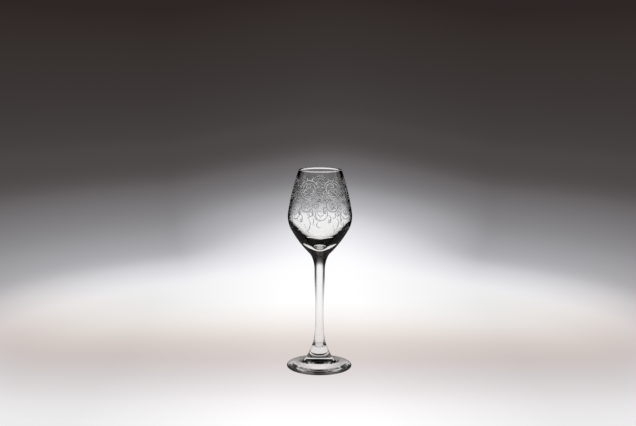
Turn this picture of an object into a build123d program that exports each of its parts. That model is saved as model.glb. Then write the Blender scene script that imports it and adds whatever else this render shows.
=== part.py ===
from build123d import *
from math import cos, radians, sin
import os

# Cordial glass: a tulip bowl, a drawn stem and a spread foot, three pieces of clear glass
# that are fused end to end while hot. Millimetres, +Z up, origin at the centre of the base.
# Every piece is turned about Z, so a point below is (radius, height). An angle is in degrees
# above level, and a lean in degrees from upright.

# Bowl, from the rim down
GLASS_HEIGHT = 172.0
RIM_DIAMETER = 36.9
RIM_WALL = 2.0              # the lip is fire-polished to a soft round edge
RIM_LEAN = 18.5
SHOULDER_LEAN = 8.5         # where the belly's arc ends and the upper wall begins
BELLY_DIAMETER = 55.0
BELLY_HEIGHT = 132.0
BELLY_ARC_RADIUS = 23.5
BELLY_WALL = 1.4
FLANK_TOP_ANGLE = 61.0
FLANK_BASE_ANGLE = 45.0
KNEE_RADIUS = 10.0          # hollow between the flank and the stem's seam
BASE_THICKNESS = 9.0        # solid glass between the seam and the cavity's floor
CAVITY_SIDE_FULLNESS = 0.44 # how long the cavity stays upright below the belly
CAVITY_FLOOR_FULLNESS = 0.2 # how far the cavity's floor stays level

# Stem, from the bowl down
SEAM_ANGLE = 66.5           # where the stem's trumpet meets the bowl
TRUMPET_RADIUS = 29.5
NECK_DIAMETER = 8.9
WAIST_DIAMETER = 6.9
WAIST_HEIGHT = 50.0
HUB_SEAM_DIAMETER = 9.9
HUB_SEAM_HEIGHT = 22.6
STEM_SEAM_LEAN = 10.0       # a slight crease marks the seam: the stem arrives steeper

# Foot, from the hub down
HUB_SEAM_LEAN = 17.0
FLARE_TOP_REACH = 9.0       # how far the hub keeps to its lean at the seam
FLARE_BASE_REACH = 4.0      # how far the hub keeps to the disc's angle
HUB_DIAMETER = 31.0         # where the disc turns up into the hub
FOOT_DIAMETER = 56.2
DISC_ANGLE = 13.0
FOOT_EDGE_THICKNESS = 1.8
REST_RING_WIDTH = 6.5       # flat ring that the glass stands on
DISH_HEIGHT = 1.6           # rise of the dished underside up to the dimple
DIMPLE_DIAMETER = 22.0      # hollow under the hub
DIMPLE_HEIGHT = 4.8


def direction(angle):
    """Unit step at an angle in degrees above level, pointing away from the axis."""
    return Vector(cos(radians(angle)), sin(radians(angle)))


def arc(centre, radius, start, end):
    """Arc between two directions, in degrees, as its centre sees them."""
    middle = (start + end) / 2
    points = [centre + direction(angle) * radius for angle in (start, middle, end)]
    return ThreePointArc(*points)


def turned(*edges):
    """Solid of revolution about Z of the closed outline that the edges make."""
    outline = Plane.XZ * make_face(edges)
    return revolve(outline, Axis.Z)


# The seam between stem and bowl follows from the belly: down the flank and round the knee
seam_turn = SEAM_ANGLE - 90
flank_top_turn = FLANK_TOP_ANGLE - 90
flank_base_turn = FLANK_BASE_ANGLE - 90
neck_radius = NECK_DIAMETER / 2
belly_radius = BELLY_DIAMETER / 2
belly_centre = Vector(belly_radius - BELLY_ARC_RADIUS, BELLY_HEIGHT)
flank_top = belly_centre + direction(flank_top_turn) * BELLY_ARC_RADIUS
seam_radius = neck_radius + TRUMPET_RADIUS * (1 - direction(seam_turn).X)
knee_width = KNEE_RADIUS * (direction(seam_turn).X - direction(flank_base_turn).X)
flank_width = flank_top.X - seam_radius - knee_width
flank_arc_radius = flank_width / (direction(flank_top_turn).X - direction(flank_base_turn).X)
flank_centre = flank_top - direction(flank_top_turn) * flank_arc_radius
knee_centre = flank_centre + direction(flank_base_turn) * (flank_arc_radius + KNEE_RADIUS)
bowl_seam = knee_centre - direction(seam_turn) * KNEE_RADIUS
bowl_seam_centre = Vector(0, bowl_seam.Y)

# The seam between stem and foot is set directly
hub_seam = Vector(HUB_SEAM_DIAMETER / 2, HUB_SEAM_HEIGHT)
hub_seam_centre = Vector(0, HUB_SEAM_HEIGHT)


def make_bowl():
    """Blown bowl: a thin wall with a rounded lip, thickening into a solid base."""
    lip_radius = RIM_WALL / 2
    lip_centre = Vector(RIM_DIAMETER / 2 - lip_radius, GLASS_HEIGHT - lip_radius)
    outer_rim = lip_centre + direction(RIM_LEAN) * lip_radius
    inner_rim = lip_centre - direction(RIM_LEAN) * lip_radius
    rim_run = direction(90 + RIM_LEAN)
    shoulder_run = direction(90 + SHOULDER_LEAN)
    inner_arc_radius = BELLY_ARC_RADIUS - BELLY_WALL
    outer_shoulder = belly_centre + direction(SHOULDER_LEAN) * BELLY_ARC_RADIUS
    inner_shoulder = belly_centre + direction(SHOULDER_LEAN) * inner_arc_radius
    inner_belly = belly_centre + direction(0) * inner_arc_radius
    floor = bowl_seam_centre + Vector(0, BASE_THICKNESS)
    side_reach = Vector(0, inner_belly.Y - floor.Y) * CAVITY_SIDE_FULLNESS
    floor_reach = Vector(inner_belly.X, 0) * CAVITY_FLOOR_FULLNESS
    return turned(
        Line(bowl_seam_centre, bowl_seam),
        arc(knee_centre, KNEE_RADIUS, 180 + seam_turn, 180 + flank_base_turn),
        arc(flank_centre, flank_arc_radius, flank_base_turn, flank_top_turn),
        arc(belly_centre, BELLY_ARC_RADIUS, flank_top_turn, SHOULDER_LEAN),
        Spline(outer_shoulder, outer_rim, tangents=(shoulder_run, rim_run)),
        arc(lip_centre, lip_radius, RIM_LEAN, RIM_LEAN + 180),
        Spline(inner_rim, inner_shoulder, tangents=(-rim_run, -shoulder_run)),
        arc(belly_centre, inner_arc_radius, SHOULDER_LEAN, 0),
        Bezier(inner_belly, inner_belly - side_reach, floor + floor_reach, floor),
        Line(floor, bowl_seam_centre),
    )


def make_stem():
    """Drawn stem: a trumpet under the bowl, a waist, and a slight flare onto the foot."""
    trumpet_centre = bowl_seam + direction(seam_turn) * TRUMPET_RADIUS
    neck = Vector(neck_radius, trumpet_centre.Y)
    waist = Vector(WAIST_DIAMETER / 2, WAIST_HEIGHT)
    up = direction(90)
    seam_run = direction(90 + STEM_SEAM_LEAN)
    return turned(
        Line(hub_seam_centre, hub_seam),
        Spline(hub_seam, waist, tangents=(seam_run, up)),
        Spline(waist, neck, tangents=(up, up)),
        arc(trumpet_centre, TRUMPET_RADIUS, 180, 180 + seam_turn),
        Line(bowl_seam, bowl_seam_centre),
        Line(bowl_seam_centre, hub_seam_centre),
    )


def make_foot():
    """Spread foot: a disc that rises to a bell-shaped hub, hollowed underneath."""
    edge_radius = FOOT_EDGE_THICKNESS / 2
    edge_centre = Vector(FOOT_DIAMETER / 2 - edge_radius, edge_radius)
    disc_run = direction(180 - DISC_ANGLE)
    disc_edge = edge_centre + direction(90 - DISC_ANGLE) * edge_radius
    disc_length = (disc_edge.X - HUB_DIAMETER / 2) / cos(radians(DISC_ANGLE))
    hub = disc_edge + disc_run * disc_length
    ring_outer = Vector(edge_centre.X, 0)
    ring_inner = ring_outer - Vector(REST_RING_WIDTH, 0)
    dimple_edge = Vector(DIMPLE_DIAMETER / 2, DISH_HEIGHT)
    dimple_top = Vector(0, DIMPLE_HEIGHT)
    hub_run = direction(90 + HUB_SEAM_LEAN)
    flare_base = hub + disc_run * FLARE_BASE_REACH
    flare_top = hub_seam - hub_run * FLARE_TOP_REACH
    return turned(
        TangentArc(dimple_top, dimple_edge, tangent=direction(0)),
        Line(dimple_edge, ring_inner),
        Line(ring_inner, ring_outer),
        arc(edge_centre, edge_radius, -90, 90 - DISC_ANGLE),
        Line(disc_edge, hub),
        Bezier(hub, flare_base, flare_top, hub_seam),
        Line(hub_seam, hub_seam_centre),
        Line(hub_seam_centre, dimple_top),
    )


os.makedirs("parts", exist_ok=True)
export_step(make_bowl(), "parts/bowl.step")
export_step(make_stem(), "parts/stem.step")
export_step(make_foot(), "parts/foot.step")
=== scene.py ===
import bpy
import math
from bisect import bisect_right
from mathutils import Matrix, Vector


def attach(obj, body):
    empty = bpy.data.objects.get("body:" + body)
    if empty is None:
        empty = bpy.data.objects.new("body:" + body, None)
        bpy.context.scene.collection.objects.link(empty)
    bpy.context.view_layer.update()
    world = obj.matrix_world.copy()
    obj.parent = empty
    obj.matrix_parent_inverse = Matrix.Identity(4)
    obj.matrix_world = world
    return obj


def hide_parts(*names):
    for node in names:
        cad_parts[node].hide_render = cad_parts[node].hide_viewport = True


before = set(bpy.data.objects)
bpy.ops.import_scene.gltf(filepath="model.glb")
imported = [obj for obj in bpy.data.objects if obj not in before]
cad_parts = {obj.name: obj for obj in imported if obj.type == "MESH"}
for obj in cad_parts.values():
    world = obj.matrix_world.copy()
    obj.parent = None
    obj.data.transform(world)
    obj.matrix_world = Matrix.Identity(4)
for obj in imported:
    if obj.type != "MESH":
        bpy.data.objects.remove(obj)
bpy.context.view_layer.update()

MM = 0.001

# Camera, from the ellipses of the foot and the rim in the photograph
CAMERA_DISTANCE = 829.2 * MM
CAMERA_HEIGHT = 256.5 * MM
CAMERA_SIDE = -1.7 * MM
CAMERA_PITCH = 8.36
CAMERA_ROLL = 0.3
CAMERA_LENS = 55.62         # millimetres, as the sensor's width
CAMERA_SENSOR = 36.0

# Sizes of the three glass pieces, in millimetres and degrees, as the solids have them
GLASS_HEIGHT = 172.0
RIM_DIAMETER = 36.9
RIM_WALL = 2.0
RIM_LEAN = 18.5
SHOULDER_LEAN = 8.5
BELLY_DIAMETER = 55.0
BELLY_HEIGHT = 132.0
BELLY_ARC_RADIUS = 23.5
BELLY_WALL = 1.4
FLANK_TOP_ANGLE = 61.0
FLANK_BASE_ANGLE = 45.0
KNEE_RADIUS = 10.0
BASE_THICKNESS = 9.0
CAVITY_SIDE_FULLNESS = 0.44
CAVITY_FLOOR_FULLNESS = 0.2
SEAM_ANGLE = 66.5
TRUMPET_RADIUS = 29.5
NECK_DIAMETER = 8.9
WAIST_DIAMETER = 6.9
WAIST_HEIGHT = 50.0
HUB_SEAM_DIAMETER = 9.9
HUB_SEAM_HEIGHT = 22.6
STEM_SEAM_LEAN = 10.0
HUB_SEAM_LEAN = 17.0
FLARE_TOP_REACH = 9.0
FLARE_BASE_REACH = 4.0
HUB_DIAMETER = 31.0
FOOT_DIAMETER = 56.2
DISC_ANGLE = 13.0
FOOT_EDGE_THICKNESS = 1.8
REST_RING_WIDTH = 6.5
DISH_HEIGHT = 1.6
DIMPLE_DIAMETER = 22.0
DIMPLE_HEIGHT = 4.8

# Fineness of the turned meshes
SEGMENTS = 192
ARC_STEP = 3.0
CURVE_STEPS = 36
LINE_STEPS = 6
TINY = 1e-6

# Glass: its index, the tint of its shadow, and the painted shade that darkens its colour towards its
# edges in place of dark surroundings close to the glass, between two shares of a face's turn away from
# the ray, and on the stem between two heights in metres
GLASS_IOR = 1.5
SHADOW_TONE = 0.93
PAINTED_EDGE_SHADE_SPANS = {"foot": (0.6, 1.0), "stem": (0.14, 0.27), "bowl": (0.58, 0.92)}
PAINTED_EDGE_SHADE_TONE = 0.02
STEM_UNSHADED_HEIGHT = 0.050
STEM_PAINTED_SHADE_HEIGHT = 0.082
# The foot's outermost edge has painted shade darker still, between two radii in metres
FOOT_EDGE_SHADE_START = 0.0269
FOOT_EDGE_SHADE_FULL = 0.0275
FOOT_EDGE_PAINTED_SHADE_TONE = 0.08
# Tool marks that run round the foot: their spacing and unevenness, and their depth in metres
MARK_SCALE = 18.0
MARK_UNEVEN = 6.0
MARK_UNEVEN_SCALE = 0.4
MARK_DEPTH = 0.0006

# Etched scrollwork: strokes on the bowl's outside, in millimetres, in groups that repeat round it
ETCH_REPEATS = 7
ETCH_TURN = 1.0             # degrees that the first group stands off the front
ETCH_LIFT = 0.03
ETCH_STEPS = 16
FINE_STROKE = 0.65
BOLD_STROKE = 1.0
STROKE_TIP = 0.4            # width of a stroke's ends, as a share of its middle's
VOLUTE_WIND = 0.8           # share of its radius by which a volute winds in
ROSETTE_HEIGHT = 157.0
ROSETTE_RADIUS = 7.8
ROSETTE_INNER_RADIUS = 5.9
ROSETTE_VOLUTE_RADIUS = 2.3
ROSETTE_VOLUTE_PLACE = 2.7  # from the rosette's middle to a volute's
ROUNDEL_HEIGHT = 138.0
ROUNDEL_RADIUS = 5.8
# Its matt tone, the share that shines through, its grain, and a painted shade across a stroke, lighter
# on one side and darker on the other as a groove's lit and shaded sides; grain and painted shade set
# in between two heights in metres
ETCH_TONE = 0.55
ETCH_BACKLIGHT = 0.25
ETCH_GRAIN = 240.0
ETCH_PAINTED_GROOVE_SHADE = 0.9
ETCH_PLAIN_TONE_HEIGHT = 0.130
ETCH_GRAIN_AND_SHADE_HEIGHT = 0.146

# Stage: a round floor that sweeps up into the backdrop, in metres, just below the glass
COVE_FLOOR_RADIUS = 0.24
COVE_WALL_RADIUS = 0.36
COVE_HEIGHT = 0.60
COVE_DROP = 0.1 * MM
COVE_SEGMENTS = 96
# Backdrop: display levels up its height, with painted shade that darkens it upwards, and the height
# above which the camera sees no change
WALL_PAINTED_SHADE_LEVELS = (
    (0.0, (255, 255, 255)),
    (0.035, (247, 247, 250)),
    (0.075, (203, 203, 207)),
    (0.11, (145, 144, 147)),
    (0.15, (94, 90, 91)),
    (0.2, (70, 66, 65)),
    (0.345, (46, 39, 38)),
    (0.425, (3, 3, 3)),
)
VISIBLE_TOP = 0.345
# Floor: display levels along Y, from the camera's side to the backdrop, with a band of painted shade
# across it by the glass
FLOOR_PAINTED_SHADE_LEVELS = (
    (-0.14, (255, 254, 255)),
    (-0.085, (243, 240, 241)),
    (-0.025, (226, 220, 220)),
    (0.045, (224, 214, 210)),
    (0.13, (245, 239, 235)),
    (0.24, (255, 255, 255)),
)
# The floor has painted shade towards its sides, fades out up the sweep, and has painted light that
# makes it paler through the glass
SIDE_SHADE_START = 0.04
SIDE_SHADE_END = 0.18
SIDE_PAINTED_SHADE = 1.1
FLOOR_FADE = 0.08
FLOOR_PAINTED_LIGHT = 0.4
# The part of the floor that takes the glass's shadow, between two radii, the share of its tone
# that the lamp lights, and the level at which the lamp lights a white floor
SHADOW_END = 0.22
SHADOW_FULL = 0.06
FLOOR_DIFFUSE = 0.2
LAMP_LEVEL = 0.46

# The glow behind the glass, in degrees to each side: the backdrop's tones sink away from its
# middle, by a reach in metres that starts at the floor and is longer low down
GLOW_WIDTH = 10.0
GLOW_ROUND = 6.0
GLOW_POWER = 0.8
GLOW_END = 3.2
GLOW_REACH = 0.0165
GLOW_LOW_REACH = 0.012
GLOW_LOW_START = 0.11
GLOW_LOW_FULL = 0.05
GLOW_FOOT = 0.05
# Azimuths of the views that look at a lit backdrop, its half width in degrees in each, how much
# faster it darkens upwards there, and the share of it seen by light that the glass has mirrored
LOBES = ((-2.2, 42.0, 1.0, 1.0), (90.0, 32.0, 1.6, 0.0), (225.0, 30.0, 1.0, 0.0))
LOBE_FADE = 8.0
# On the floor, inside these radii, a lit part is wider by some degrees
LOBE_FLOOR_SPREAD = 40.0
SPREAD_END = 0.33
SPREAD_FULL = 0.28
# Light that the glass has mirrored sees a lit part only below these heights
BOUNCE_END = 0.03
BOUNCE_FULL = 0.02
# The floor near the glass is lit all round, and less for light that the glass has mirrored
NEAR_END = 0.09
NEAR_FULL = 0.06
NEAR_KEPT = 0.5
# Through the glass, the lower backdrop shows the tones of a place further down
LENS_SHIFT = 0.035
LENS_TOP = 0.128
LENS_BASE = 0.065
# The share of the backdrop that the outside of the glass mirrors, and the dark room's level
GLOSS_SHARE = 0.1
WORLD_TONE = 0.002

# Key lamp, in front of the glass and above it
LAMP_PLACE = (0.0, -0.75, 0.50)
LAMP_AIM = (0.0, 0.0, 0.13)
LAMP_SIZE = (0.9, 0.35)
LAMP_WATTS = 7.0

# Most bounces that light takes through glass, off polished faces and through clear ones
GLASS_BOUNCES = 64
MIRROR_BOUNCES = 16
CLEAR_BOUNCES = 32


# Section curves

def direction(angle):
    """Unit step at an angle in degrees above level, pointing away from the axis."""
    return Vector((math.cos(math.radians(angle)), math.sin(math.radians(angle))))


def line(start, end):
    """Points of a straight stretch, its start left out."""
    return [start.lerp(end, i / LINE_STEPS) for i in range(1, LINE_STEPS + 1)]


def arc(centre, radius, start, end):
    """Points of an arc between two directions, its start left out."""
    steps = max(LINE_STEPS, math.ceil(abs(end - start) / ARC_STEP))
    turns = [start + (end - start) * i / steps for i in range(1, steps + 1)]
    return [centre + direction(turn) * radius for turn in turns]


def bezier(start, start_handle, end_handle, end, steps=CURVE_STEPS):
    """Points of a cubic curve, its start left out."""
    points = []
    for i in range(1, steps + 1):
        t = i / steps
        s = 1 - t
        inner = 3 * s * s * t * start_handle + 3 * s * t * t * end_handle
        points.append(s**3 * start + inner + t**3 * end)
    return points


def spline(start, end, start_run, end_run):
    """Points of a curve that leaves and arrives along two unit steps, its start left out."""
    reach = (end - start).length / 3
    return bezier(start, start + start_run * reach, end - end_run * reach, end)


# The seams and arcs that the three pieces share follow from the sizes above
UP = direction(90)
seam_turn = SEAM_ANGLE - 90
flank_top_turn = FLANK_TOP_ANGLE - 90
flank_base_turn = FLANK_BASE_ANGLE - 90
neck_radius = NECK_DIAMETER / 2
belly_centre = Vector((BELLY_DIAMETER / 2 - BELLY_ARC_RADIUS, BELLY_HEIGHT))
flank_top = belly_centre + direction(flank_top_turn) * BELLY_ARC_RADIUS
seam_radius = neck_radius + TRUMPET_RADIUS * (1 - direction(seam_turn).x)
knee_width = KNEE_RADIUS * (direction(seam_turn).x - direction(flank_base_turn).x)
flank_width = flank_top.x - seam_radius - knee_width
flank_radius = flank_width / (direction(flank_top_turn).x - direction(flank_base_turn).x)
flank_centre = flank_top - direction(flank_top_turn) * flank_radius
knee_centre = flank_centre + direction(flank_base_turn) * (flank_radius + KNEE_RADIUS)
bowl_seam = knee_centre - direction(seam_turn) * KNEE_RADIUS
hub_seam = Vector((HUB_SEAM_DIAMETER / 2, HUB_SEAM_HEIGHT))
hub_run = direction(90 + HUB_SEAM_LEAN)
lip_radius = RIM_WALL / 2
lip_centre = Vector((RIM_DIAMETER / 2 - lip_radius, GLASS_HEIGHT - lip_radius))
rim_run = direction(90 + RIM_LEAN)
shoulder_run = direction(90 + SHOULDER_LEAN)


def foot_section():
    """Section of the foot, from the middle of its hollow underside up to the stem."""
    edge_radius = FOOT_EDGE_THICKNESS / 2
    edge_centre = Vector((FOOT_DIAMETER / 2 - edge_radius, edge_radius))
    disc_run = direction(180 - DISC_ANGLE)
    disc_edge = edge_centre + direction(90 - DISC_ANGLE) * edge_radius
    disc_length = (disc_edge.x - HUB_DIAMETER / 2) / math.cos(math.radians(DISC_ANGLE))
    hub = disc_edge + disc_run * disc_length
    ring_outer = Vector((edge_centre.x, 0))
    ring_inner = Vector((edge_centre.x - REST_RING_WIDTH, 0))
    dimple_edge = Vector((DIMPLE_DIAMETER / 2, DISH_HEIGHT))
    rise = DIMPLE_HEIGHT - DISH_HEIGHT
    dimple_radius = (dimple_edge.x**2 + rise**2) / (2 * rise)
    dimple_centre = Vector((0, DIMPLE_HEIGHT - dimple_radius))
    dimple_end = math.degrees(math.atan2(dimple_edge.y - dimple_centre.y, dimple_edge.x))
    flare_base = hub + disc_run * FLARE_BASE_REACH
    flare_top = hub_seam - hub_run * FLARE_TOP_REACH
    section = [Vector((0, DIMPLE_HEIGHT))]
    section += arc(dimple_centre, dimple_radius, 90, dimple_end)
    section += line(dimple_edge, ring_inner)
    section += line(ring_inner, ring_outer)
    section += arc(edge_centre, edge_radius, -90, 90 - DISC_ANGLE)
    section += line(disc_edge, hub)
    section += bezier(hub, flare_base, flare_top, hub_seam)
    return section


def stem_section():
    """Section of the stem, from the foot up to the bowl."""
    trumpet_centre = bowl_seam + direction(seam_turn) * TRUMPET_RADIUS
    neck = Vector((neck_radius, trumpet_centre.y))
    waist = Vector((WAIST_DIAMETER / 2, WAIST_HEIGHT))
    section = [hub_seam]
    section += spline(hub_seam, waist, direction(90 + STEM_SEAM_LEAN), UP)
    section += spline(waist, neck, UP, UP)
    section += arc(trumpet_centre, TRUMPET_RADIUS, 180, 180 + seam_turn)
    return section


def bowl_outside():
    """Section of the bowl's outside, from the stem up to the lip."""
    outer_shoulder = belly_centre + direction(SHOULDER_LEAN) * BELLY_ARC_RADIUS
    outer_rim = lip_centre + direction(RIM_LEAN) * lip_radius
    section = [bowl_seam]
    section += arc(knee_centre, KNEE_RADIUS, 180 + seam_turn, 180 + flank_base_turn)
    section += arc(flank_centre, flank_radius, flank_base_turn, flank_top_turn)
    section += arc(belly_centre, BELLY_ARC_RADIUS, flank_top_turn, SHOULDER_LEAN)
    section += spline(outer_shoulder, outer_rim, shoulder_run, rim_run)
    return section


def bowl_inside():
    """Section of the lip and the cavity, from the outer wall's top to the cavity's floor."""
    inner_radius = BELLY_ARC_RADIUS - BELLY_WALL
    inner_shoulder = belly_centre + direction(SHOULDER_LEAN) * inner_radius
    inner_rim = lip_centre - direction(RIM_LEAN) * lip_radius
    inner_belly = belly_centre + direction(0) * inner_radius
    floor = Vector((0, bowl_seam.y + BASE_THICKNESS))
    side_reach = Vector((0, inner_belly.y - floor.y)) * CAVITY_SIDE_FULLNESS
    floor_reach = Vector((inner_belly.x, 0)) * CAVITY_FLOOR_FULLNESS
    section = arc(lip_centre, lip_radius, RIM_LEAN, RIM_LEAN + 180)
    section += spline(inner_rim, inner_shoulder, -rim_run, -shoulder_run)
    section += arc(belly_centre, inner_radius, SHOULDER_LEAN, 0)
    section += bezier(inner_belly, inner_belly - side_reach, floor + floor_reach, floor)
    return section


# Materials

WHITE = (1, 1, 1, 1)


def linear(levels):
    """Linear colour of display levels from 0 to 255."""
    shares = [level / 255 for level in levels]
    return tuple(v / 12.92 if v <= 0.04045 else ((v + 0.055) / 1.055) ** 2.4 for v in shares)


class Graph:
    """The node tree of a new material or world, with short ways to add and join its nodes."""

    def __init__(self, name, kind=bpy.data.materials, output="OutputMaterial"):
        self.owner = kind.new(name)
        self.owner.use_nodes = True
        self.output = output
        self.tree = self.owner.node_tree
        self.tree.nodes.clear()

    def add(self, kind, inputs=None, **settings):
        """A node, its settings made, and its inputs set or joined."""
        node = self.tree.nodes.new("ShaderNode" + kind)
        for name, value in settings.items():
            setattr(node, name, value)
        for key, value in (inputs or {}).items():
            if isinstance(value, bpy.types.NodeSocket):
                self.tree.links.new(value, node.inputs[key])
            else:
                node.inputs[key].default_value = value
        return node

    def math(self, operation, *values, clamp=False):
        """The result of an operation on numbers or sockets."""
        inputs = dict(enumerate(values))
        return self.add("Math", inputs, operation=operation, use_clamp=clamp).outputs[0]

    def smooth(self, value, start, end):
        """0 at the start and 1 at the end, with a soft step between them."""
        inputs = {"Value": value, "From Min": start, "From Max": end}
        return self.add("MapRange", inputs, interpolation_type="SMOOTHSTEP").outputs[0]

    def radius(self, x, y):
        """Distance from the upright axis."""
        return self.math("SQRT", self.math("MULTIPLY_ADD", x, x, self.math("MULTIPLY", y, y)))

    def ramp(self, value, stops, interpolation):
        """Colour looked up between stops of (position, linear colour)."""
        node = self.add("ValToRGB", {0: value})
        ramp = node.color_ramp
        ramp.interpolation = interpolation
        while len(ramp.elements) < len(stops):
            ramp.elements.new(1.0)
        for element, (position, colour) in zip(ramp.elements, stops):
            element.position = position
            element.color = (*colour, 1.0)
        return node.outputs[0]

    def levels(self, place, levels):
        """Colour at a place along display levels, which are (place, colour) in order."""
        first, last = levels[0][0], levels[-1][0]
        share = self.math("DIVIDE", self.math("SUBTRACT", place, first), last - first, clamp=True)
        stops = [((at - first) / (last - first), linear(colour)) for at, colour in levels]
        return self.ramp(share, stops, "CARDINAL")

    def mix(self, share, first, second):
        """A surface between two others."""
        return self.add("MixShader", {0: share, 1: first, 2: second}).outputs[0]

    def blend(self, share, first, second):
        """A colour between two others."""
        return self.add("Mix", {0: share, 6: first, 7: second}, data_type="RGBA").outputs[2]

    def scaled(self, colour, share):
        """A colour times a number."""
        node = self.add("VectorMath", {0: colour, "Scale": share}, operation="SCALE")
        return node.outputs[0]

    def times(self, first, second):
        """A colour times another."""
        node = self.add("VectorMath", {0: first, 1: second}, operation="MULTIPLY")
        return node.outputs[0]

    def finish(self, shader):
        """The material or world, with a shader as its surface."""
        self.add(self.output, {"Surface": shader})
        return self.owner


def tool_marks(graph, place):
    """Normal of a surface with shallow uneven rings about the upright axis."""
    marks = graph.add("TexWave", {
        "Vector": place,
        "Scale": MARK_SCALE,
        "Distortion": MARK_UNEVEN,
        "Detail": 0.0,
        "Detail Scale": MARK_UNEVEN_SCALE,
    }, wave_type="RINGS", rings_direction="Z")
    bump = graph.add("Bump", {"Height": marks.outputs["Fac"], "Distance": MARK_DEPTH})
    return bump.outputs[0]


def glass_material(node):
    """Clear fire-polished glass, its colour darkened towards its edges by painted shade in place of
    dark surroundings close to the glass.
    """
    graph = Graph("clear_glass_" + node)
    place = graph.add("TexCoord").outputs["Object"]
    x, y, z = graph.add("SeparateXYZ", {0: place}).outputs
    facing = graph.add("LayerWeight").outputs["Facing"]
    # Painted shade: the colour darkens where a face turns away from the ray, as dark surroundings
    # close to the glass would make it look
    start, end = PAINTED_EDGE_SHADE_SPANS[node]
    edge = graph.ramp(facing, ((start, WHITE[:3]), (end, (PAINTED_EDGE_SHADE_TONE,) * 3)), "EASE")
    inputs = {"Roughness": 0.0, "IOR": GLASS_IOR, "Transmission Weight": 1.0}
    if node == "foot":
        # Painted shade, darker still, on the foot's outermost edge
        rim = graph.smooth(graph.radius(x, y), FOOT_EDGE_SHADE_START, FOOT_EDGE_SHADE_FULL)
        edge = graph.scaled(edge, graph.math("MULTIPLY_ADD", rim, FOOT_EDGE_PAINTED_SHADE_TONE - 1.0, 1.0))
        inputs["Normal"] = tool_marks(graph, place)
    if node == "stem":
        # On the stem the painted edge shade holds only high up and fades to clear lower down
        clear = graph.smooth(z, STEM_PAINTED_SHADE_HEIGHT, STEM_UNSHADED_HEIGHT)
        edge = graph.blend(clear, edge, WHITE)
    inputs["Base Color"] = edge
    glass = graph.add("BsdfPrincipled", inputs)
    shade = graph.add("BsdfTransparent", {"Color": (SHADOW_TONE, SHADOW_TONE, SHADOW_TONE, 1)})
    shadow = graph.add("LightPath").outputs["Is Shadow Ray"]
    return graph.finish(graph.mix(shadow, glass.outputs[0], shade.outputs[0]))


def seam_material():
    """Fused glass leaves nothing to see between two pieces."""
    graph = Graph("fused_seam")
    return graph.finish(graph.add("BsdfTransparent").outputs[0])


def etched_material():
    """Matt etched glass that scatters light both ways, with grain and a painted shade across each
    stroke, as a groove's lit and shaded sides, that set in higher up the bowl.
    """
    graph = Graph("etched_glass")
    place = graph.add("TexCoord").outputs["Object"]
    height = graph.add("SeparateXYZ", {0: place}).outputs[2]
    grain_and_shade_share = graph.smooth(height, ETCH_PLAIN_TONE_HEIGHT, ETCH_GRAIN_AND_SHADE_HEIGHT)
    grain = graph.add("TexNoise", {"Vector": place, "Scale": ETCH_GRAIN, "Detail": 1.0}).outputs[0]
    across = graph.add("Attribute", attribute_name="across").outputs["Fac"]
    speckle = graph.math("SUBTRACT", grain, 0.5)
    # Painted shade: one side of each stroke lighter and the other darker, as a groove's lit and shaded
    # sides would be
    change = graph.math("MULTIPLY_ADD", graph.math("SUBTRACT", across, 0.5), ETCH_PAINTED_GROOVE_SHADE, speckle)
    tone = graph.math("MULTIPLY_ADD", change, grain_and_shade_share, ETCH_TONE, clamp=True)
    front = graph.add("BsdfDiffuse", {"Color": tone})
    back = graph.add("BsdfTranslucent", {"Color": tone})
    return graph.finish(graph.mix(ETCH_BACKLIGHT, front.outputs[0], back.outputs[0]))


def backdrop_lobes(graph, path, place):
    """How much of the backdrop the glass sees lit at a place, and the height of the tone there."""
    x, y, z = place
    radius = graph.radius(x, y)
    azimuth = graph.math("DEGREES", graph.math("ARCTAN2", graph.math("MULTIPLY", x, -1.0), y))
    low = graph.smooth(z, GLOW_LOW_START, GLOW_LOW_FULL)
    wider = graph.math("MULTIPLY_ADD", low, GLOW_LOW_REACH, GLOW_REACH)
    reach = graph.math("MULTIPLY", graph.smooth(z, 0.0, GLOW_FOOT), wider)
    lens = graph.math("MULTIPLY", path["Is Transmission Ray"], graph.smooth(z, LENS_TOP, LENS_BASE))
    shift = graph.math("MULTIPLY", lens, -LENS_SHIFT)
    on_floor = graph.smooth(radius, SPREAD_END, SPREAD_FULL)
    spread = graph.math("MULTIPLY", on_floor, LOBE_FLOOR_SPREAD)
    bounced = graph.math("MINIMUM", path["Glossy Depth"], 1.0)
    low_band = graph.smooth(z, BOUNCE_END, BOUNCE_FULL)
    near_share = graph.math("MULTIPLY_ADD", bounced, NEAR_KEPT - 1.0, 1.0)
    lit = graph.math("MULTIPLY", graph.smooth(radius, NEAR_END, NEAR_FULL), near_share)
    height = graph.math("SUBTRACT", VISIBLE_TOP + 1.0, path["Is Camera Ray"])
    for lobe, width, haste, kept in LOBES:
        turn = graph.math("WRAP", graph.math("SUBTRACT", azimuth, lobe), 180.0, -180.0)
        full = graph.math("ADD", spread, width)
        end = graph.math("ADD", full, LOBE_FADE)
        within = graph.smooth(graph.math("ABSOLUTE", turn), end, full)
        lost = graph.math("MULTIPLY_ADD", low_band, -kept, 1.0)
        share = graph.math("SUBTRACT", 1.0, graph.math("MULTIPLY", bounced, lost))
        lit = graph.math("MAXIMUM", lit, graph.math("MULTIPLY", within, share))
        rounded = graph.math("SQRT", graph.math("MULTIPLY_ADD", turn, turn, GLOW_ROUND**2))
        away = graph.math("MINIMUM", graph.math("DIVIDE", rounded, GLOW_WIDTH), GLOW_END)
        glow = graph.math("SUBTRACT", graph.math("POWER", away, GLOW_POWER), 1.0)
        raised = graph.math("MULTIPLY_ADD", glow, reach, shift)
        height = graph.math("MINIMUM", height, graph.math("MULTIPLY_ADD", z, haste, raised))
    return lit, height


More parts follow.
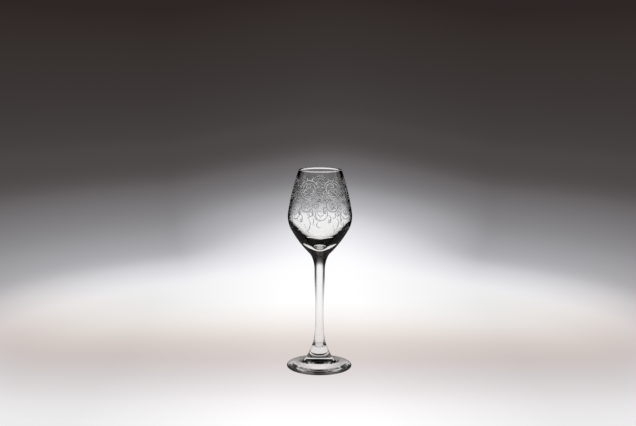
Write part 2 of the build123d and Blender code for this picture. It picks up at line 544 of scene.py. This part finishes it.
def backdrop_colour(graph, path, place, height):
    """The backdrop's tone at a height, with painted shade upwards, times the floor's tone low down,
    with painted shade and painted light through the glass.
    """
    x, y, z = place
    # Painted shade: the floor grows darker towards its sides
    side = graph.math("MINIMUM", graph.math("ABSOLUTE", x), SIDE_SHADE_END)
    beyond = graph.math("MAXIMUM", graph.math("SUBTRACT", side, SIDE_SHADE_START), 0.0)
    side_shade = graph.math("MULTIPLY_ADD", beyond, -SIDE_PAINTED_SHADE, 1.0)
    # Painted shade: a grey band across the floor by the glass
    floor = graph.scaled(graph.levels(y, FLOOR_PAINTED_SHADE_LEVELS), side_shade)
    above = graph.smooth(z, 0.0, FLOOR_FADE)
    # Painted light: seen through the glass, the floor is paler
    through_glass_light = graph.math("MULTIPLY", path["Is Transmission Ray"], FLOOR_PAINTED_LIGHT)
    floor = graph.blend(graph.math("MAXIMUM", above, through_glass_light), floor, WHITE)
    # Painted shade: the backdrop's tone darkens upwards
    return graph.times(graph.levels(height, WALL_PAINTED_SHADE_LEVELS), floor)


def backdrop_material():
    """Pale floor and backdrop. The glass sees them lit behind it and near it, and dark elsewhere."""
    graph = Graph("backdrop")
    geometry = graph.add("NewGeometry").outputs
    path = graph.add("LightPath").outputs
    camera = path["Is Camera Ray"]
    through = path["Is Transmission Ray"]
    x, y, z = graph.add("SeparateXYZ", {0: geometry["Position"]}).outputs
    lit, height = backdrop_lobes(graph, path, (x, y, z))
    colour = backdrop_colour(graph, path, (x, y, z), height)
    mirrored = graph.math("SUBTRACT", path["Is Glossy Ray"], through, clamp=True)
    seen = graph.math("MULTIPLY_ADD", mirrored, GLOSS_SHARE, graph.math("MAXIMUM", camera, through))
    shaded = graph.smooth(graph.radius(x, y), SHADOW_END, SHADOW_FULL)
    own_share = graph.math("MULTIPLY_ADD", shaded, -FLOOR_DIFFUSE, 1.0)
    strength = graph.math("MULTIPLY", seen, own_share)
    shown = graph.add("Emission", {"Color": colour, "Strength": strength})
    lamp_share = graph.math("MULTIPLY", shaded, FLOOR_DIFFUSE / LAMP_LEVEL)
    matt = graph.add("BsdfDiffuse", {"Color": graph.scaled(colour, lamp_share)})
    surface = graph.add("AddShader", {0: shown.outputs[0], 1: matt.outputs[0]}).outputs[0]
    clear = graph.add("BsdfTransparent").outputs[0]
    inside = graph.math("SUBTRACT", 1.0, geometry["Backfacing"])
    cover = graph.math("MULTIPLY", inside, graph.math("MAXIMUM", camera, lit))
    solid = graph.math("SUBTRACT", cover, path["Is Shadow Ray"], clamp=True)
    return graph.finish(graph.mix(solid, clear, surface))


def studio_world():
    """A dark room about the stage."""
    graph = Graph("studio", bpy.data.worlds, "OutputWorld")
    return graph.finish(graph.add("Background", {"Strength": WORLD_TONE}).outputs[0])


# Meshes

def add_mesh(name, vertices, faces, materials):
    """An object with a smooth mesh, put in the scene."""
    mesh = bpy.data.meshes.new(name)
    mesh.from_pydata(vertices, [], faces)
    for material in materials:
        mesh.materials.append(material)
    mesh.polygons.foreach_set("use_smooth", [True] * len(faces))
    piece = bpy.data.objects.new(name, mesh)
    bpy.context.scene.collection.objects.link(piece)
    return piece


def at_turn(point, turn):
    """A section's point turned about Z by an angle in radians."""
    return (point.x * math.cos(turn), point.x * math.sin(turn), point.y)


def section_normals(section):
    """Outward normal at each point of a section, smooth along it and upright on the axis."""
    normals = []
    for i, point in enumerate(section):
        before = next((p for p in section[i::-1] if (p - point).length > TINY), point)
        after = next((p for p in section[i:] if (p - point).length > TINY), point)
        step = (after - before).normalized()
        normal = Vector((step.y, -step.x))
        if point.x < TINY:
            normal = Vector((0, math.copysign(1, normal.y)))
        normals.append(normal)
    return normals


def turned_piece(name, run, normals, seams, materials):
    """A closed piece turned about Z, with a flat seam face at each end that meets a neighbour."""
    turns = [2 * math.pi * k / SEGMENTS for k in range(SEGMENTS)]
    vertices, rings = [], []
    for point in run:
        around = turns if point.x > TINY else turns[:1]
        rings.append(range(len(vertices), len(vertices) + len(around)))
        vertices += [at_turn(point * MM, turn) for turn in around]
    faces, corner_normals = [], []
    for i in range(len(run) - 1):
        for k in range(SEGMENTS):
            j = (k + 1) % SEGMENTS
            corners = [(i, k), (i, j), (i + 1, j), (i + 1, k)]
            if len(rings[i]) == 1:
                corners.pop(0)
            elif len(rings[i + 1]) == 1:
                corners.pop()
            faces.append([rings[a][b % len(rings[a])] for a, b in corners])
            corner_normals += [at_turn(normals[a], turns[b]) for a, b in corners]
    walls = len(faces)
    for end, side in seams:
        faces.append(list(rings[end])[::side])
        corner_normals += [(0, 0, side)] * SEGMENTS
    piece = add_mesh(name, vertices, faces, materials)
    for face in piece.data.polygons[walls:]:
        face.material_index = 1
    piece.data.normals_split_custom_set(corner_normals)
    return piece


def build_glass():
    """Foot, stem and bowl, cut from one smooth section so that no seam shows."""
    runs = {
        "foot": (foot_section(), [(-1, 1)]),
        "stem": (stem_section(), [(0, -1), (-1, 1)]),
        "bowl": (bowl_outside() + bowl_inside(), [(0, -1)]),
    }
    normals = section_normals([point for run, seams in runs.values() for point in run])
    seam = seam_material()
    for node, (run, seams) in runs.items():
        own, normals = normals[:len(run)], normals[len(run):]
        materials = (glass_material(node), seam)
        piece = turned_piece(node + "_glass", run, own, seams, materials)
        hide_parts(node)
        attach(piece, "root")


# Etched scrollwork: a stroke is a list of points (across, height) in millimetres

def volute(centre, radius, angle, turns):
    """Spiral that winds in from a point at an angle in degrees; a minus winds clockwise."""
    steps = math.ceil(abs(turns) * ETCH_STEPS)
    points = []
    for i in range(steps + 1):
        t = i / steps
        points.append(centre + direction(angle + 360 * turns * t) * radius * (1 - VOLUTE_WIND * t))
    return points


def ring(centre, radius, start=0.0, sweep=360.0):
    """Round stroke, whole or in part."""
    steps = math.ceil(abs(sweep) / 360 * 2 * ETCH_STEPS)
    return [centre + direction(start + sweep * i / steps) * radius for i in range(steps + 1)]


def curve(*corners):
    """Curve between the first and last of four points, drawn towards the other two."""
    points = [Vector(corner) for corner in corners]
    return points[:1] + bezier(*points, steps=ETCH_STEPS)


def leaf(root, angle, length, bend):
    """Bent stroke that leaves its root at an angle in degrees."""
    root = Vector(root)
    middle = root + direction(angle) * length / 2
    tip = root + direction(angle + bend) * length
    return curve(root, middle, middle.lerp(tip, 0.5), tip)


def rosette():
    """Upper group: three volutes in a double ring, with leaves about it and below it."""
    centre = Vector((0, ROSETTE_HEIGHT))
    strokes = [
        ring(centre, ROSETTE_RADIUS, start=195, sweep=150),
        ring(centre, ROSETTE_RADIUS, start=15, sweep=150),
        ring(centre, ROSETTE_INNER_RADIUS),
    ]
    for turn in (90, 210, 330):
        eye = centre + direction(turn) * ROSETTE_VOLUTE_PLACE
        strokes.append(volute(eye, ROSETTE_VOLUTE_RADIUS, angle=turn + 180, turns=-1.25))
    for turn in range(15, 360, 30):
        root = centre + direction(turn) * ROSETTE_RADIUS
        strokes.append(leaf(root, turn - 25, length=1.9, bend=40))
    for side in (-1, 1):
        root = (side * 7.4, 148.6)
        for k in range(3):
            angle = 90 - side * (50 + 35 * k)
            strokes.append(leaf(root, angle, length=4.6 - 0.5 * k, bend=side * 30))
    return strokes


def roundel():
    """Lower group: a roundel with a scroll in it under an arch, a hook, curls and hanging tendrils."""
    centre = Vector((0, ROUNDEL_HEIGHT))
    strokes = [
        ring(centre, ROUNDEL_RADIUS, start=75, sweep=-300),
        volute(centre + Vector((-0.4, 0.6)), radius=3.7, angle=60, turns=-1.25),
        curve((-2.0, 130.6), (-4.6, 129.2), (-3.4, 125.2), (0.4, 126.6)),
        curve((-10.8, 134.0), (-7.4, 131.0), (-8.4, 126.0), (-11.8, 121.6)),
        curve((-9.4, 141.0), (-8.2, 147.4), (-2.4, 149.6), (3.6, 147.0)),
        volute(Vector((5.0, 148.2)), radius=1.9, angle=220, turns=1.25),
        volute(Vector((-8.8, 137.8)), radius=3.0, angle=100, turns=1.5),
        volute(Vector((9.4, 142.4)), radius=2.8, angle=250, turns=-1.5),
        curve((5.4, 136.0), (9.0, 138.4), (10.2, 130.4), (6.0, 130.2)),
        volute(Vector((7.4, 131.8)), radius=1.7, angle=210, turns=1.25),
        curve((-5.2, 127.6), (-7.8, 129.8), (-4.2, 132.4), (-6.6, 134.4)),
    ]
    for k in range(4):
        root = (-4.6 + 2.4 * k, 152.4 + 0.5 * k)
        strokes.append(leaf(root, 150 - 25 * k, length=2.8, bend=20))
    for k in range(5):
        dot = Vector((10.4 + 0.5 * k, 128.4 - 1.6 * k))
        strokes.append([dot, dot + Vector((0.2, -0.6))])
    for side in (-1, 1):
        for k in range(3):
            root = (side * 11.0, 147.0 - 2.4 * k)
            strokes.append(leaf(root, 90 - side * (40 + 20 * k), length=3.0, bend=-side * 30))
    return strokes


def ribbon(points, width, turn, outline):
    """Corners of a stroke's two edges on the bowl, thinned towards its ends."""
    heights = [point.y for point in outline]
    last = len(points) - 1
    corners = []
    for i, point in enumerate(points):
        run = (points[min(i + 1, last)] - points[max(i - 1, 0)]).normalized()
        fullness = math.sin(math.pi * i / last) if last > 1 else 1.0
        reach = width / 2 * (STROKE_TIP + (1 - STROKE_TIP) * fullness)
        for side in (-1, 1):
            spot = point + Vector((-run.y, run.x)) * reach * side
            k = bisect_right(heights, spot.y)
            low, high = outline[k - 1], outline[k]
            radius = low.lerp(high, (spot.y - low.y) / (high.y - low.y)).x
            place = Vector((radius + ETCH_LIFT, spot.y)) * MM
            corners.append(at_turn(place, turn + spot.x / radius))
    return corners


def build_etching():
    """The scrollwork's groups, set round the bowl in turn."""
    outline = bowl_outside()
    vertices, faces = [], []
    step = 2 * math.pi / ETCH_REPEATS
    for k in range(ETCH_REPEATS):
        front = math.radians(ETCH_TURN - 90) + step * k
        groups = ((roundel(), FINE_STROKE, front), (rosette(), BOLD_STROKE, front + step / 2))
        for strokes, width, turn in groups:
            for points in strokes:
                first = len(vertices)
                vertices += ribbon(points, width, turn, outline)
                starts = range(first, len(vertices) - 2, 2)
                faces += [(i + 1, i, i + 2, i + 3) for i in starts]
    piece = add_mesh("etched_scrollwork", vertices, faces, [etched_material()])
    across = piece.data.attributes.new("across", "FLOAT", "POINT")
    across.data.foreach_set("value", [0.0, 1.0] * (len(vertices) // 2))
    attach(piece, "root")


# Studio

def build_stage():
    """A round floor that sweeps up into the backdrop, in a dark room."""
    sweep = COVE_WALL_RADIUS - COVE_FLOOR_RADIUS
    corner = Vector((COVE_FLOOR_RADIUS, sweep))
    run = [Vector((TINY, 0)), Vector((COVE_FLOOR_RADIUS, 0))]
    run += arc(corner, sweep, -90, 0) + [Vector((COVE_WALL_RADIUS, COVE_HEIGHT))]
    turns = [2 * math.pi * k / COVE_SEGMENTS for k in range(COVE_SEGMENTS)]
    vertices = [at_turn(point, turn) for point in run for turn in turns]
    faces = []
    for i in range(len(run) - 1):
        for k in range(COVE_SEGMENTS):
            j = (k + 1) % COVE_SEGMENTS
            low, high = i * COVE_SEGMENTS, (i + 1) * COVE_SEGMENTS
            faces.append((low + j, low + k, high + k, high + j))
    cove = add_mesh("cove", vertices, faces, [backdrop_material()])
    cove.location.z = -COVE_DROP
    bpy.context.scene.world = studio_world()


def build_lamp():
    """A wide soft lamp that lights the etching and the floor, and is not itself seen."""
    data = bpy.data.lights.new("key", "AREA")
    data.shape = "RECTANGLE"
    data.size, data.size_y = LAMP_SIZE
    data.energy = LAMP_WATTS
    lamp = bpy.data.objects.new("key", data)
    bpy.context.scene.collection.objects.link(lamp)
    place = Vector(LAMP_PLACE)
    aim = (Vector(LAMP_AIM) - place).to_track_quat("-Z", "Y")
    lamp.matrix_world = Matrix.Translation(place) @ aim.to_matrix().to_4x4()
    lamp.visible_camera = False
    lamp.visible_transmission = False
    lamp.visible_glossy = False


def build_camera():
    """The photograph's camera."""
    data = bpy.data.cameras.new("camera")
    data.lens = CAMERA_LENS
    data.sensor_width = CAMERA_SENSOR
    camera = bpy.data.objects.new("camera", data)
    bpy.context.scene.collection.objects.link(camera)
    tilt = Matrix.Rotation(math.radians(90 - CAMERA_PITCH), 4, "X")
    roll = Matrix.Rotation(math.radians(CAMERA_ROLL), 4, "Z")
    place = Matrix.Translation((CAMERA_SIDE, -CAMERA_DISTANCE, CAMERA_HEIGHT))
    camera.matrix_world = place @ tilt @ roll
    bpy.context.scene.camera = camera


def set_render():
    """Plain display, enough bounces for glass within glass, and a denoiser that keeps to colour."""
    scene = bpy.context.scene
    scene.view_settings.view_transform = "Standard"
    scene.cycles.max_bounces = GLASS_BOUNCES
    scene.cycles.transmission_bounces = GLASS_BOUNCES
    scene.cycles.glossy_bounces = MIRROR_BOUNCES
    scene.cycles.transparent_max_bounces = CLEAR_BOUNCES
    scene.cycles.denoising_input_passes = "RGB"


build_glass()
build_etching()
build_stage()
build_lamp()
build_camera()
set_render()
